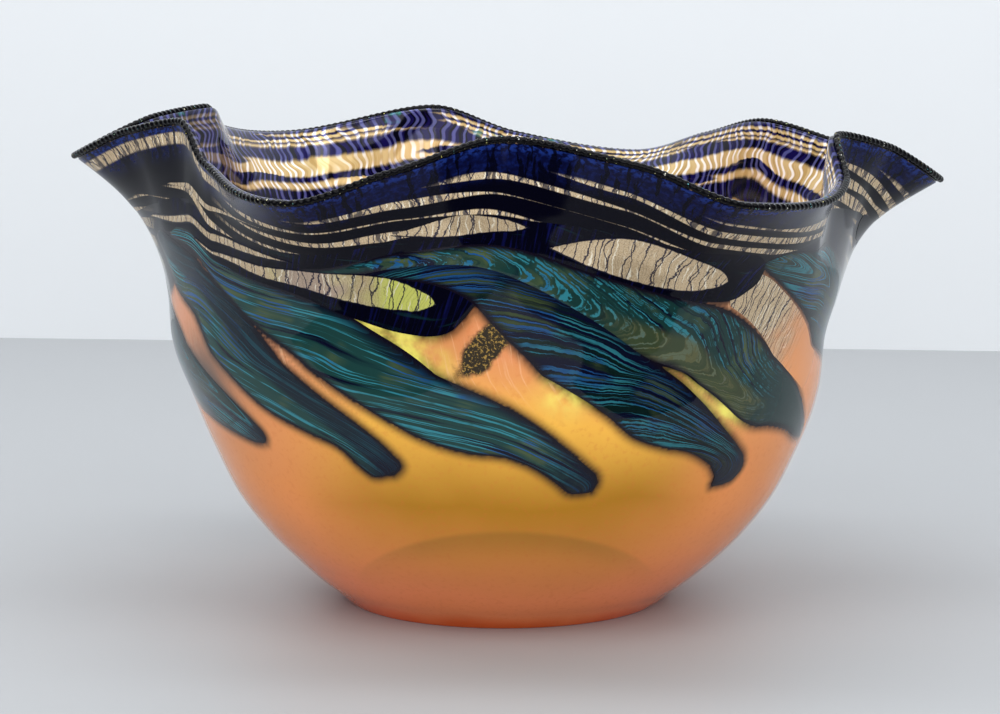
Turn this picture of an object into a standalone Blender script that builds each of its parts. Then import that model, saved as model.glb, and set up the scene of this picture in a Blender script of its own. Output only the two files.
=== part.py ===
"""Ruffled art glass bowl: blown amber body with cobalt collar, feathers, silver-leaf lenses and a lip cord.

Metres, +Z up, foot flat on z = 0, centre of the foot at the origin, front of the bowl on -Y.
Every place on the wall is given as (azimuth, level): azimuth in degrees from the front towards +X,
level 0 at the foot and 1 at the centre line of the lip cord.
"""
import bmesh
import bpy
import numpy as np

# ---------------------------------------------------------------- body
BLANK = [  # turned wall below the ruffle: (height, outer radius)
    (0.0, 0.0628), (0.0015, 0.0645), (0.005, 0.0686), (0.010, 0.0753),
    (0.018, 0.0843), (0.030, 0.0961), (0.045, 0.1072), (0.060, 0.1146),
    (0.078, 0.1220), (0.096, 0.1271), (0.108, 0.1292),
]
LIP = [  # hand-worked lip: (azimuth, radius, height) at each crest, fold and halfway point
    (0, 0.1390, 0.1938), (17, 0.1575, 0.1856), (31, 0.1682, 0.1706), (44, 0.1620, 0.1684),
    (58.5, 0.1490, 0.1736), (68, 0.1362, 0.1883), (81, 0.1510, 0.1815), (93, 0.1733, 0.1659),
    (113, 0.1510, 0.1758), (128, 0.1400, 0.1830), (145, 0.1505, 0.1743), (160, 0.1660, 0.1641),
    (178, 0.1500, 0.1728), (193, 0.1405, 0.1852), (215, 0.1630, 0.1743), (233, 0.1495, 0.1803),
    (242, 0.1402, 0.1906), (255, 0.1460, 0.1888), (270, 0.1690, 0.1762), (285, 0.1490, 0.1888),
    (298, 0.1370, 0.1943), (307, 0.1388, 0.1805), (331, 0.1605, 0.1711), (345, 0.1545, 0.1828),
]
RUFFLE_LENGTH = 0.072      # wall length from the shoulder to the lip, sets the level scale
FLOOR = 0.0090             # thickness of the glass under the inside
WALL_LOW = 0.0050          # wall thickness above the foot
WALL_LIP = 0.0028          # wall thickness at the lip
FLOOR_RINGS = (0.001, 0.35, 0.7, 0.9)         # rings of the foot, as shares of its radius
COLUMNS = 100              # facets around the bowl
RUFFLE_LEVELS = np.linspace(0.65, 0.96, 11)   # rings of facets above the shoulder

# ---------------------------------------------------------------- applied bits of glass
CORD_RADIUS = 0.00145      # lip cord
CORD_CRIMPS = 80           # crimps along the whole lip
CORD_RIDGE = 0.00016
GAP = 0.0005               # clearance that keeps neighbouring solids apart
SKIN = 0.0006              # thickness of the collar, feathers and swags
LEAF = 0.0004              # thickness of a silver-leaf lens
COLLAR_LOW = 0.842         # level of the collar's lower edge
PATTERN_SCALE = (0.00225, 0.203)              # metres along the wall for one degree and for one level

# Feathers: lower and upper edge from root to tip, (azimuth, level).
FEATHER_A = (
    [(-92, 0.700), (-86, 0.620), (-77, 0.535), (-66, 0.503), (-57, 0.485), (-50.5, 0.472)],
    [(-84, 0.720), (-76, 0.690), (-67, 0.652), (-58, 0.600), (-51, 0.535), (-47, 0.492)],
)
FEATHER_B = (
    [(-75, 0.764), (-68, 0.696), (-55, 0.633), (-45, 0.555), (-34, 0.508), (-28, 0.468), (-23, 0.443)],
    [(-72, 0.766), (-61, 0.742), (-51, 0.712), (-36, 0.630), (-29.5, 0.577), (-23, 0.524), (-19.5, 0.468)],
)
FEATHER_C = (
    [(-61, 0.766), (-50, 0.733), (-34, 0.652), (-20, 0.558), (-8, 0.498), (4, 0.468), (13, 0.403)],
    [(-57, 0.772), (-46, 0.758), (-30, 0.722), (-16, 0.664), (0, 0.592), (11, 0.500), (17, 0.430)],
)
FEATHER_D = (
    [(-5, 0.722), (2.5, 0.668), (12, 0.612), (21, 0.535), (30, 0.492), (38, 0.452), (41, 0.405)],
    [(-3, 0.757), (7, 0.731), (16, 0.697), (27, 0.645), (36.5, 0.575), (44, 0.498), (45.5, 0.402)],
)
FEATHER_E = (
    [(0, 0.773), (8, 0.747), (19, 0.709), (30.8, 0.655), (40, 0.584), (52, 0.514), (66, 0.468)],
    [(0, 0.790), (10, 0.773), (20, 0.752), (34, 0.728), (46, 0.680), (58, 0.608), (72, 0.480)],
)
FEATHER_F = (
    [(51, 0.785), (58, 0.715), (66, 0.675), (76, 0.632), (85, 0.597), (94, 0.560)],
    [(60, 0.802), (68, 0.765), (78, 0.725), (88, 0.682), (97, 0.630), (101, 0.575)],
)
FEATHERS = [  # name, edges, turn about the axis in degrees
    ("feather_01", FEATHER_A, 0), ("feather_02", FEATHER_B, 0), ("feather_03", FEATHER_C, 0),
    ("feather_04", FEATHER_D, 0), ("feather_05", FEATHER_E, 0), ("feather_06", FEATHER_F, 0),
    ("feather_07", FEATHER_C, 158), ("feather_08", FEATHER_D, 160),
    ("feather_09", FEATHER_E, 160), ("feather_10", FEATHER_B, 285),
]

# Cobalt swags that fill the shoulder between the collar and the feathers.
SWAG_LONG = (
    [(-70, 0.782), (-58, 0.783), (-46, 0.769), (-30, 0.734), (-18, 0.684), (-12, 0.668)],
    [(-70, 0.829), (-52, 0.832), (-36, 0.832), (-22, 0.828), (-13, 0.808), (-8, 0.765)],
)
SWAG_SHORT = (
    [(2, 0.800), (10, 0.784), (20, 0.763), (34, 0.740), (39, 0.742)],
    [(2, 0.832), (12, 0.833), (24, 0.832), (36, 0.820), (42, 0.785)],
)
SWAGS = [
    ("swag_01", SWAG_LONG, 0), ("swag_02", SWAG_SHORT, 0),
    ("swag_03", SWAG_LONG, 158), ("swag_04", SWAG_SHORT, 160),
]

# Silver-leaf lenses.
LENS_LONG = (
    [(-60, 0.778), (-48, 0.784), (-36, 0.766), (-25, 0.738), (-17, 0.720), (-11, 0.720)],
    [(-60, 0.784), (-48, 0.800), (-33, 0.801), (-22, 0.787), (-13, 0.752), (-10, 0.730)],
)
LENS_WIDE = (
    [(7, 0.794), (14, 0.770), (24, 0.753), (33, 0.757), (36, 0.770)],
    [(7, 0.802), (15, 0.827), (23, 0.834), (31, 0.813), (36, 0.780)],
)
LENS_SMALL = (
    [(-15, 0.848), (-10, 0.846), (-4, 0.846), (1, 0.846), (4, 0.846)],
    [(-15, 0.853), (-10, 0.862), (-4, 0.866), (1, 0.858), (4, 0.852)],
)
LENS_HIGH = (
    [(-69, 0.867), (-60, 0.860), (-51, 0.883), (-42, 0.899), (-33, 0.900)],
    [(-69, 0.876), (-60, 0.877), (-52, 0.898), (-42, 0.908), (-33, 0.905)],
)
STREAK = (
    [(-68, 0.806), (-60, 0.806), (-50, 0.814), (-33, 0.815)],
    [(-68, 0.815), (-60, 0.819), (-50, 0.829), (-33, 0.820)],
)
LENS_WINDOW = (
    [(41, 0.726), (46, 0.700), (52, 0.668), (60, 0.618), (66, 0.575)],
    [(42, 0.772), (47, 0.768), (53, 0.728), (61, 0.680), (68, 0.632)],
)
LENSES = [  # name, edges, turn about the axis, layer (0 on the body, 1 on a swag or the collar)
    ("lens_01", LENS_LONG, 0, 1), ("lens_02", LENS_WIDE, 0, 1), ("lens_03", LENS_SMALL, 0, 1),
    ("lens_04", LENS_HIGH, 0, 1), ("lens_05", LENS_WINDOW, 0, 0),
    ("lens_06", LENS_LONG, 158, 1), ("lens_07", LENS_WIDE, 160, 1), ("lens_08", LENS_SMALL, 158, 1),
    ("lens_09", LENS_HIGH, 290, 1), ("lens_10", LENS_HIGH, 150, 1),
]

MATERIALS = {  # name: (colour, metallic, roughness, transmission)
    "amber_glass": ((0.78, 0.36, 0.10), 0.25, 0.08, 0.15),
    "cobalt_glass": ((0.012, 0.014, 0.060), 0.0, 0.06, 0.0),
    "feather_glass": ((0.020, 0.110, 0.120), 0.0, 0.10, 0.0),
    "silver_leaf": ((0.62, 0.52, 0.36), 0.6, 0.25, 0.0),
    "black_cord": ((0.010, 0.010, 0.014), 0.0, 0.10, 0.0),
}


def monotone(x, y, at):
    """Cubic through (x, y) that keeps every point a smooth turning point or a steady slope."""
    x, y = np.asarray(x, float), np.asarray(y, float)
    step = np.diff(x)
    slope = np.diff(y) / step
    tangent = np.zeros_like(y)
    before, after = slope[:-1], slope[1:]
    same = before * after > 0
    w1, w2 = 2 * step[1:] + step[:-1], step[1:] + 2 * step[:-1]
    blend = (w1 + w2) / (w1 / np.where(same, before, 1.0) + w2 / np.where(same, after, 1.0))
    tangent[1:-1] = np.where(same, blend, 0.0)
    tangent[0], tangent[-1] = slope[0], slope[-1]
    i = np.clip(np.searchsorted(x, at, side="right") - 1, 0, len(x) - 2)
    t = (at - x[i]) / step[i]
    return (
        (2 * t**3 - 3 * t**2 + 1) * y[i] + (t**3 - 2 * t**2 + t) * step[i] * tangent[i]
        + (3 * t**2 - 2 * t**3) * y[i + 1] + (t**3 - t**2) * step[i] * tangent[i + 1]
    )


def lip(azimuth):
    """Radius and height of the lip cord's centre line."""
    rows = np.array(LIP)
    around = np.r_[rows[-3:, 0] - 360, rows[:, 0], rows[:3, 0] + 360]
    at = np.mod(azimuth, 360)
    return [monotone(around, np.r_[rows[-3:, c], rows[:, c], rows[:3, c]], at) for c in (1, 2)]


HEIGHTS, RADII = np.array(BLANK).T
FINE_Z = np.linspace(0, HEIGHTS[-1], 400)
FINE_R = monotone(HEIGHTS, RADII, FINE_Z)
ARC = np.r_[0, np.cumsum(np.hypot(np.diff(FINE_Z), np.diff(FINE_R)))]
SHOULDER = ARC[-1] / (ARC[-1] + RUFFLE_LENGTH)


def wall(azimuth, level):
    """Point on the outer face of the body."""
    azimuth, level = np.broadcast_arrays(np.asarray(azimuth, float), np.asarray(level, float))
    low_z = np.interp(np.clip(level / SHOULDER, 0, 1) * ARC[-1], ARC, FINE_Z)
    low_r = np.interp(low_z, FINE_Z, FINE_R)
    t = np.clip((level - SHOULDER) / (1 - SHOULDER), 0, 1.2)
    lip_r, lip_z = lip(azimuth)
    r0, z0 = RADII[-1], HEIGHTS[-1]
    lean = np.array([RADII[-1] - RADII[-2], HEIGHTS[-1] - HEIGHTS[-2]])
    lean = lean / np.hypot(*lean) * 1.7
    reach = np.hypot(lip_r - r0, lip_z - z0)
    a, b = 2 * t**3 - 3 * t**2 + 1, t**3 - 2 * t**2 + t
    c, d = 3 * t**2 - 2 * t**3, t**3 - t**2
    high_r = a * r0 + b * lean[0] * reach + c * lip_r + d * 1.7 * (lip_r - r0)
    high_z = a * z0 + b * lean[1] * reach + c * lip_z + d * 0.75 * (lip_z - z0)
    r = np.where(level > SHOULDER, high_r, low_r)
    z = np.where(level > SHOULDER, high_z, low_z)
    wander = 0.001 - 0.0032 * np.exp(-((z - 0.106) / 0.017) ** 2) - 0.001 * np.clip((z - 0.12) / 0.03, 0, 1)
    wander = wander * np.clip(z / 0.02, 0, 1)
    turn = np.radians(azimuth)
    return np.stack([r * np.sin(turn) + wander, -r * np.cos(turn), z], axis=-1)


def outward(azimuth, level):
    """Unit normal of the outer face."""
    around = wall(azimuth + 0.2, level) - wall(azimuth - 0.2, level)
    upward = wall(azimuth, level + 0.002) - wall(azimuth, level - 0.002)
    normal = np.cross(around, upward)
    return normal / np.linalg.norm(normal, axis=-1, keepdims=True)


def raised(azimuth, level, height):
    return wall(azimuth, level) + outward(azimuth, level) * height


def shaped(name, bm, place):
    """Object whose points are moved to place(x, y, z) on the bowl."""
    mesh = bpy.data.meshes.new(name)
    bm.to_mesh(mesh)
    bm.free()
    flat = np.empty(len(mesh.vertices) * 3)
    mesh.vertices.foreach_get("co", flat)
    mesh.vertices.foreach_set("co", place(*flat.reshape(-1, 3).T).ravel())
    mesh.shade_smooth()
    obj = bpy.data.objects.new(name, mesh)
    COLLECTION.objects.link(obj)
    return obj


def thicken(obj, thickness, outwards):
    """Turns an open sheet that faces outwards into a closed solid."""
    solidify = obj.modifiers.new("thickness", "SOLIDIFY")
    solidify.thickness = thickness
    solidify.offset = 1.0 if outwards else -1.0
    return solidify


def turned_sheet(profile):
    """Unit-radius sheet of revolution through (radius, level) pairs that run from the lip down."""
    bm = bmesh.new()
    points = [bm.verts.new((radius, 0, level)) for radius, level in profile]
    edges = [bm.edges.new(pair) for pair in zip(points, points[1:])]
    bmesh.ops.spin(
        bm, geom=points + edges, cent=(0, 0, 0), axis=(0, 0, 1), angle=2 * np.pi,
        steps=COLUMNS, use_merge=True,
    )
    bmesh.ops.remove_doubles(bm, verts=bm.verts, dist=1e-5)
    bmesh.ops.recalc_face_normals(bm, faces=bm.faces)
    return bm


def azimuth_of(x, y):
    return np.degrees(np.arctan2(x, -y))


def below_cord(azimuth):
    """Level at which the wall stops, just under the lip cord."""
    slope = np.linalg.norm(wall(azimuth, 1.0) - wall(azimuth, 0.98), axis=-1) / 0.02
    return 1 - (CORD_RADIUS + CORD_RIDGE + GAP) / slope


def on_body(x, y, z):
    azimuth = azimuth_of(x, y)
    point = wall(azimuth, np.minimum(z, below_cord(azimuth)))
    share = np.hypot(x, y)
    foot = z < 1e-6
    point[foot] *= share[foot, None]
    return point


def make_body():
    levels = np.r_[np.linspace(0, 0.60, 13), RUFFLE_LEVELS, 1.0]
    profile = [(1.0, level) for level in levels[::-1]]
    profile += [(share, 0.0) for share in FLOOR_RINGS[::-1]] + [(0.0, 0.0)]
    body = shaped("body", turned_sheet(profile), on_body)
    thickness = body.vertex_groups.new(name="glass_thickness")
    for vertex in body.data.vertices:
        height = vertex.co.z
        glass = np.interp(height, [0.0, 0.004, 0.03, 0.19], [FLOOR, FLOOR, WALL_LOW, WALL_LIP])
        thickness.add([vertex.index], glass / FLOOR, "REPLACE")
    solidify = thicken(body, FLOOR, outwards=False)
    solidify.vertex_group = thickness.name
    return body


def make_collar():
    levels = np.r_[COLLAR_LOW, RUFFLE_LEVELS[RUFFLE_LEVELS > COLLAR_LOW]]
    profile = [(1.0, level) for level in levels[::-1]]
    collar = shaped("collar", turned_sheet(profile), lambda x, y, z: raised(azimuth_of(x, y), z, GAP))
    thicken(collar, SKIN, outwards=True)
    return collar


def make_cord():
    """Closed curve along the lip whose radius swells and narrows at each crimp."""
    azimuth = np.arange(3 * CORD_CRIMPS) * 120 / CORD_CRIMPS
    curve = bpy.data.curves.new("lip_cord", "CURVE")
    curve.dimensions = "3D"
    curve.bevel_depth = CORD_RADIUS
    curve.bevel_resolution = 1
    spline = curve.splines.new("POLY")
    spline.points.add(len(azimuth) - 1)
    spline.use_cyclic_u = True
    for i, (point, centre) in enumerate(zip(spline.points, wall(azimuth, 1.0))):
        point.co = (*centre, 1.0)
        point.radius = 1 + (CORD_RIDGE / CORD_RADIUS if i % 3 == 0 else 0)
    cord = bpy.data.objects.new("lip_cord", curve)
    COLLECTION.objects.link(cord)
    return cord


def edge_curve(points, at):
    """Smooth chain of (azimuth, level) through the points, at shares 0 to 1 of its length."""
    chain = np.array(points, float)
    run = np.r_[0, np.cumsum(np.hypot(*(np.diff(chain, axis=0) * PATTERN_SCALE).T))]
    tangent = np.gradient(chain, run, axis=0)
    run_at = at * run[-1]
    i = np.clip(np.searchsorted(run, run_at, side="right") - 1, 0, len(run) - 2)
    step = (run[i + 1] - run[i])[:, None]
    t = (run_at - run[i])[:, None] / step
    return (
        (2 * t**3 - 3 * t**2 + 1) * chain[i] + (t**3 - 2 * t**2 + t) * step * tangent[i]
        + (3 * t**2 - 2 * t**3) * chain[i + 1] + (t**3 - t**2) * step * tangent[i + 1]
    )


def make_bit(name, edges, turn, lift, thickness, along, across):
    """Thin bit of glass lying on the wall between a lower and an upper edge."""
    bm = bmesh.new()
    bmesh.ops.create_grid(bm, x_segments=along, y_segments=across, size=0.5)

    def place(x, y, _):
        lower, upper = (edge_curve(edge, x + 0.5) for edge in edges)
        spot = lower + (upper - lower) * (y[:, None] + 0.5)
        return raised(spot[:, 0] + turn, spot[:, 1], lift)

    bit = shaped(name, bm, place)
    thicken(bit, thickness, outwards=True)
    return bit


def glass(obj, kind):
    """Gives a piece its own material."""
    colour, metallic, roughness, transmission = MATERIALS[kind]
    material = bpy.data.materials.new(obj.name + "_" + kind)
    material.use_nodes = True
    shader = material.node_tree.nodes["Principled BSDF"]
    shader.inputs["Base Color"].default_value = (*colour, 1.0)
    shader.inputs["Metallic"].default_value = metallic
    shader.inputs["Roughness"].default_value = roughness
    shader.inputs["Transmission Weight"].default_value = transmission
    obj.data.materials.append(material)


for old in list(bpy.data.objects):
    bpy.data.objects.remove(old, do_unlink=True)

COLLECTION = bpy.data.collections.new("art_glass_bowl")
bpy.context.scene.collection.children.link(COLLECTION)

glass(make_body(), "amber_glass")
glass(make_collar(), "cobalt_glass")
glass(make_cord(), "black_cord")
for name, edges, turn in FEATHERS:
    glass(make_bit(name, edges, turn, GAP, SKIN, along=14, across=4), "feather_glass")
for name, edges, turn in SWAGS:
    glass(make_bit(name, edges, turn, GAP, SKIN, along=26, across=5), "cobalt_glass")
for name, edges, turn, layer in LENSES:
    lift = GAP + layer * (SKIN + GAP)
    glass(make_bit(name, edges, turn, lift, LEAF, along=16, across=3), "silver_leaf")
glass(make_bit("streak_01", STREAK, 0, 2 * GAP + SKIN, LEAF, along=16, across=1), "silver_leaf")
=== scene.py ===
"""Look of the ruffled art glass bowl: smooth glass, pulled feathers, silver leaf and a crimped lip cord.

Places on the wall are (azimuth, level): degrees from the front towards +X, level 0 at the foot and 1
at the centre line of the lip cord. UV maps hold the pattern's own coordinates.
"""

import bpy
import numpy as np
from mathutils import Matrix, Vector, kdtree


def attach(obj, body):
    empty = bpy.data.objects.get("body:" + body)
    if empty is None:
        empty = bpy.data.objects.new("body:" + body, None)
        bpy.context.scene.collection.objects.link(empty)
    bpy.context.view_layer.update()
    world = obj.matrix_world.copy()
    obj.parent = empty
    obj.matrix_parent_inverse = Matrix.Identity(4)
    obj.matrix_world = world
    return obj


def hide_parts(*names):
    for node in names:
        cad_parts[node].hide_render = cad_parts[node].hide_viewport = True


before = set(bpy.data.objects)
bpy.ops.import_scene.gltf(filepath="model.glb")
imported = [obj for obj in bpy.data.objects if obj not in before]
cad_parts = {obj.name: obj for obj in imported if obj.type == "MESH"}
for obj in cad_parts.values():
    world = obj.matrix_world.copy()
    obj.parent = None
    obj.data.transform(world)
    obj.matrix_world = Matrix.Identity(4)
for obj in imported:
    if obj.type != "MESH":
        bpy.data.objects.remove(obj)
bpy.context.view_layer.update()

# ---------------------------------------------------------------- shape of the wall, as in the CAD, in metres
BLANK = [  # turned wall below the ruffle: (height, outer radius)
    (0.0, 0.0628), (0.0015, 0.0645), (0.005, 0.0686), (0.010, 0.0753),
    (0.018, 0.0843), (0.030, 0.0961), (0.045, 0.1072), (0.060, 0.1146),
    (0.078, 0.1220), (0.096, 0.1271), (0.108, 0.1292),
]
LIP = [  # centre line of the lip: (azimuth, radius, height) at the crests, at the folds and between them
    (0, 0.1390, 0.1938), (17, 0.1575, 0.1856), (31, 0.1682, 0.1706), (44, 0.1620, 0.1684),
    (58.5, 0.1490, 0.1736), (68, 0.1362, 0.1883), (81, 0.1510, 0.1815), (93, 0.1733, 0.1659),
    (113, 0.1510, 0.1758), (128, 0.1400, 0.1830), (145, 0.1505, 0.1743), (160, 0.1660, 0.1641),
    (178, 0.1500, 0.1728), (193, 0.1405, 0.1852), (215, 0.1630, 0.1743), (233, 0.1495, 0.1803),
    (242, 0.1402, 0.1906), (255, 0.1460, 0.1888), (270, 0.1690, 0.1762), (285, 0.1490, 0.1888),
    (298, 0.1370, 0.1943), (307, 0.1388, 0.1805), (331, 0.1605, 0.1711), (345, 0.1545, 0.1828),
]
RUFFLE_LENGTH = 0.072      # nominal length of the ruffle; it only sets where the levels fall
SHOULDER_PULL = 1.7        # how firmly the ruffle leaves the shoulder in the blank's direction
LIP_FLARE = 1.7            # how much it leans outwards where it meets the lip,
LIP_RISE = 0.75            # and how much upwards
FLOOR = 0.0090             # thickness of the floor
WALL_LOW = 0.0050          # wall thickness above the foot
WALL_LIP = 0.0028          # wall thickness at the lip
RIM_LEVEL = 0.992          # where the wall ends, under the cord
RIM_ROUND = 0.0006         # height of the rounding on the rim
INNER_LOW = 0.09           # level where the inside wall turns into the floor

# The lip cord is thinner than the CAD's and has more crimps. This radius keeps it inside the CAD's box.
CORD_RADIUS = 0.00119
CORD_RIDGE = 0.00016
CORD_CRIMPS = 390
CORD_SIDES = 12

COLLAR_LOW, COLLAR_HIGH = 0.835, 0.991        # levels of the collar's edges
COLLAR_EDGE, COLLAR_LIFT = 0.00002, 0.00028   # its outer face: height at the lower edge, and what is added
COLLAR_SUNK = 0.0002                          # its inner face below the wall's face
# How high the edges of the bits stand above the wall's face: most feathers and the low lens, the swags, the
# feathers that cross others, and the other lenses.
LOW_LIFT, SWAG_LIFT, CROSSING_LIFT, LENS_LIFT = 0.00004, 0.00010, 0.00018, 0.00028
FEATHER_RISE, THIN_RISE = 0.00010, 0.00006    # how much higher a bit is in the middle than at its edge
SUNK = 0.00012                                # how deep a bit's underside lies below the wall's face

MM_PER_DEGREE = 2.25       # the pattern's own scale along the wall, taken as the same all over
MM_PER_LEVEL = 203.0

# Outlines: lower and upper edge from root to tip. They are drawn closer to the photo than the CAD's, so
# many of the tails and the swags reach past their solids.
FEATHER_A = (
    [(-92, 0.700), (-86, 0.620), (-77, 0.535), (-66, 0.503), (-57, 0.485), (-49.5, 0.472)],
    [(-88, 0.720), (-78, 0.680), (-68, 0.650), (-60, 0.603), (-53, 0.550), (-46.5, 0.490)],
)
FEATHER_B = (
    [(-80, 0.775), (-73, 0.715), (-61, 0.672), (-52, 0.610), (-45, 0.555), (-36, 0.515), (-30, 0.490),
     (-26.5, 0.452), (-24.5, 0.436), (-21.5, 0.440)],
    [(-76, 0.790), (-64, 0.757), (-51, 0.728), (-42.8, 0.680), (-36, 0.633), (-29.5, 0.579), (-24, 0.530),
     (-20, 0.486), (-18.5, 0.462), (-19.5, 0.444)],
)
FEATHER_C = (
    [(-72, 0.778), (-58, 0.752), (-42.5, 0.684), (-34, 0.652), (-27, 0.606), (-20, 0.557), (-14, 0.520),
     (-6, 0.494), (0, 0.486), (5, 0.462), (9.5, 0.425), (11.5, 0.405), (14, 0.401)],
    [(-66, 0.800), (-56, 0.785), (-44, 0.770), (-34, 0.748), (-26, 0.722), (-21, 0.695), (-12, 0.655),
     (-6, 0.625), (1, 0.586), (6, 0.545), (11, 0.495), (14.5, 0.460), (16.8, 0.436), (17, 0.418)],
)
FEATHER_D = (
    [(-26, 0.772), (-16, 0.765), (-10, 0.748), (-5, 0.722), (-1, 0.690), (5, 0.657), (11, 0.618), (17, 0.570),
     (22, 0.520), (28, 0.494), (34, 0.477), (37.5, 0.458), (40.5, 0.434), (41.5, 0.412), (40.5, 0.398)],
    [(-26, 0.784), (-16, 0.790), (-10, 0.788), (-3, 0.775), (4, 0.750), (12, 0.718), (18, 0.692), (23, 0.667),
     (27, 0.650), (31.5, 0.617), (35, 0.582), (40, 0.527), (45.5, 0.475), (48, 0.451), (49, 0.427),
     (47.5, 0.402), (43.5, 0.391)],
)
FEATHER_E = (
    [(-34, 0.788), (-22, 0.784), (-6, 0.765), (4, 0.735), (12, 0.700), (18, 0.674), (22, 0.661),
     (26.5, 0.650), (29, 0.646), (31.5, 0.636), (35, 0.609), (38, 0.586), (41, 0.560), (44, 0.535),
     (48, 0.515), (54, 0.505), (60, 0.490), (67, 0.462), (72, 0.448)],
    [(-34, 0.800), (-22, 0.812), (-6, 0.806), (4, 0.790), (12, 0.768), (20, 0.750), (29, 0.737), (36, 0.722),
     (45, 0.684), (54, 0.636), (61, 0.583), (68, 0.510), (72.5, 0.466), (73.5, 0.452)],
)
FEATHER_F = (
    [(41, 0.812), (46, 0.775), (52, 0.735), (60, 0.690), (68, 0.648), (78, 0.612), (88, 0.585), (96, 0.560)],
    [(47, 0.836), (56, 0.815), (65, 0.785), (74, 0.745), (84, 0.700), (92, 0.655), (99, 0.610), (100, 0.568)],
)
LENS_LONG = (
    [(-60, 0.780), (-48, 0.785), (-40.5, 0.772), (-33.5, 0.763), (-27.8, 0.748), (-22, 0.730), (-17, 0.719),
     (-12.5, 0.717), (-10.6, 0.722)],
    [(-60, 0.784), (-48, 0.800), (-40, 0.798), (-32.5, 0.800), (-26.8, 0.797), (-19, 0.777), (-14, 0.754),
     (-11, 0.735), (-10.2, 0.725)],
)
LENS_WIDE = (
    [(6.5, 0.798), (13, 0.773), (19, 0.757), (25, 0.752), (31, 0.754), (34.5, 0.762), (35.8, 0.770)],
    [(7, 0.801), (14, 0.825), (19.8, 0.835), (26, 0.831), (31.5, 0.812), (35, 0.788), (36, 0.774)],
)
LENS_SMALL = (
    [(-16.5, 0.851), (-13, 0.839), (-8, 0.824), (-2, 0.820), (2, 0.822), (4, 0.828)],
    [(-16.5, 0.856), (-12, 0.862), (-7, 0.864), (-2, 0.850), (1.5, 0.840), (4, 0.830)],
)
LENS_HIGH = (
    [(-69, 0.868), (-64, 0.860), (-58, 0.861), (-51, 0.884), (-42.5, 0.900), (-33, 0.899)],
    [(-69, 0.875), (-64, 0.874), (-58, 0.880), (-51, 0.900), (-42.5, 0.908), (-33, 0.904)],
)
STREAK = (
    [(-79, 0.811), (-66, 0.797), (-57, 0.806), (-50, 0.816), (-43, 0.817), (-33, 0.815)],
    [(-79, 0.818), (-66, 0.812), (-57, 0.822), (-50, 0.836), (-43, 0.835), (-33, 0.818)],
)
LENS_WINDOW = (
    [(37, 0.728), (42, 0.704), (48, 0.672), (54, 0.636), (60, 0.595), (66, 0.555)],
    [(37.5, 0.800), (44, 0.780), (50, 0.742), (57, 0.700), (64, 0.662), (72, 0.620)],
)
SWAG_LONG = (
    [(-74, 0.785), (-60, 0.778), (-48, 0.770), (-34, 0.748), (-24, 0.712), (-16, 0.690), (-9, 0.688),
     (-5, 0.705)],
    [(-74, 0.850), (-60, 0.850), (-48, 0.850), (-34, 0.850), (-22, 0.850), (-12, 0.850), (-4, 0.840),
     (2, 0.800)],
)
SWAG_SHORT = (
    [(-8, 0.772), (4, 0.780), (12, 0.762), (22, 0.742), (31, 0.735), (38, 0.736), (41, 0.748)],
    [(-8, 0.850), (4, 0.850), (14, 0.850), (26, 0.850), (36, 0.846), (42, 0.820), (43.5, 0.780)],
)

# piece: edges, turn in degrees, then the pattern: quill (0 to 1 across the feather), pull (mm that the lines
# are dragged along it), spread (mm over which that fades), pitch of the lines in mm, curl, olive (from
# TAN_BAND up the feather also has a tan band), loop (mm, rounds the lines at the quill), seed, lift
# (brightness) and shadow (mm of dark along the upper edge).
TAN_BAND = 1
FEATHERS = {
    "feather_01": (FEATHER_A, 0, 0.80, 150, 20, 3.0, 0.12, 0.1, 1.0, 1.0, 1.1, 0),
    "feather_02": (FEATHER_B, 0, 0.98, 260, 40, 4.2, 0.06, 0.3, 1.0, 2.0, 2.0, 12.5),
    "feather_03": (FEATHER_C, 0, 0.95, 250, 44, 4.4, 0.10, 0.5, 1.0, 3.0, 1.8, 5.5),
    "feather_04": (FEATHER_D, 0, 0.95, 110, 14, 2.6, 0.50, 0.1, 2.0, 4.0, 0.4, 5.5),
    "feather_05": (FEATHER_E, 0, 0.30, 210, 26, 2.6, 0.80, 1.0, 4.0, 5.0, 1.3, 0),
    "feather_06": (FEATHER_F, 0, 0.55, 150, 16, 2.8, 0.15, 0.5, 2.0, 6.0, 1.0, 0),
    "feather_07": (FEATHER_C, 158, 0.95, 250, 44, 4.4, 0.10, 0.4, 1.0, 7.0, 1.6, 5.5),
    "feather_08": (FEATHER_D, 160, 0.95, 110, 14, 2.6, 0.50, 0.1, 2.0, 8.0, 0.5, 5.5),
    "feather_09": (FEATHER_E, 160, 0.30, 210, 26, 2.6, 0.80, 1.0, 4.0, 9.0, 1.3, 0),
    "feather_10": (FEATHER_B, 285, 0.98, 260, 40, 4.2, 0.06, 0.3, 1.0, 10.0, 1.7, 10.0),
}
LENSES = {  # piece: edges, turn, seed
    "lens_01": (LENS_LONG, 0, 1.0), "lens_02": (LENS_WIDE, 0, 2.0), "lens_03": (LENS_SMALL, 0, 3.0),
    "lens_04": (LENS_HIGH, 0, 4.0), "lens_05": (LENS_WINDOW, 0, 5.0),
    "lens_06": (LENS_LONG, 158, 6.0), "lens_07": (LENS_WIDE, 160, 7.0), "lens_08": (LENS_SMALL, 158, 8.0),
    "lens_09": (LENS_HIGH, 290, 9.0), "lens_10": (LENS_HIGH, 150, 10.0),
    "streak_01": (STREAK, 0, 11.0),
}
BODY_DARK_TOP = 0.900  # level of the upper edge, under the collar
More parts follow.
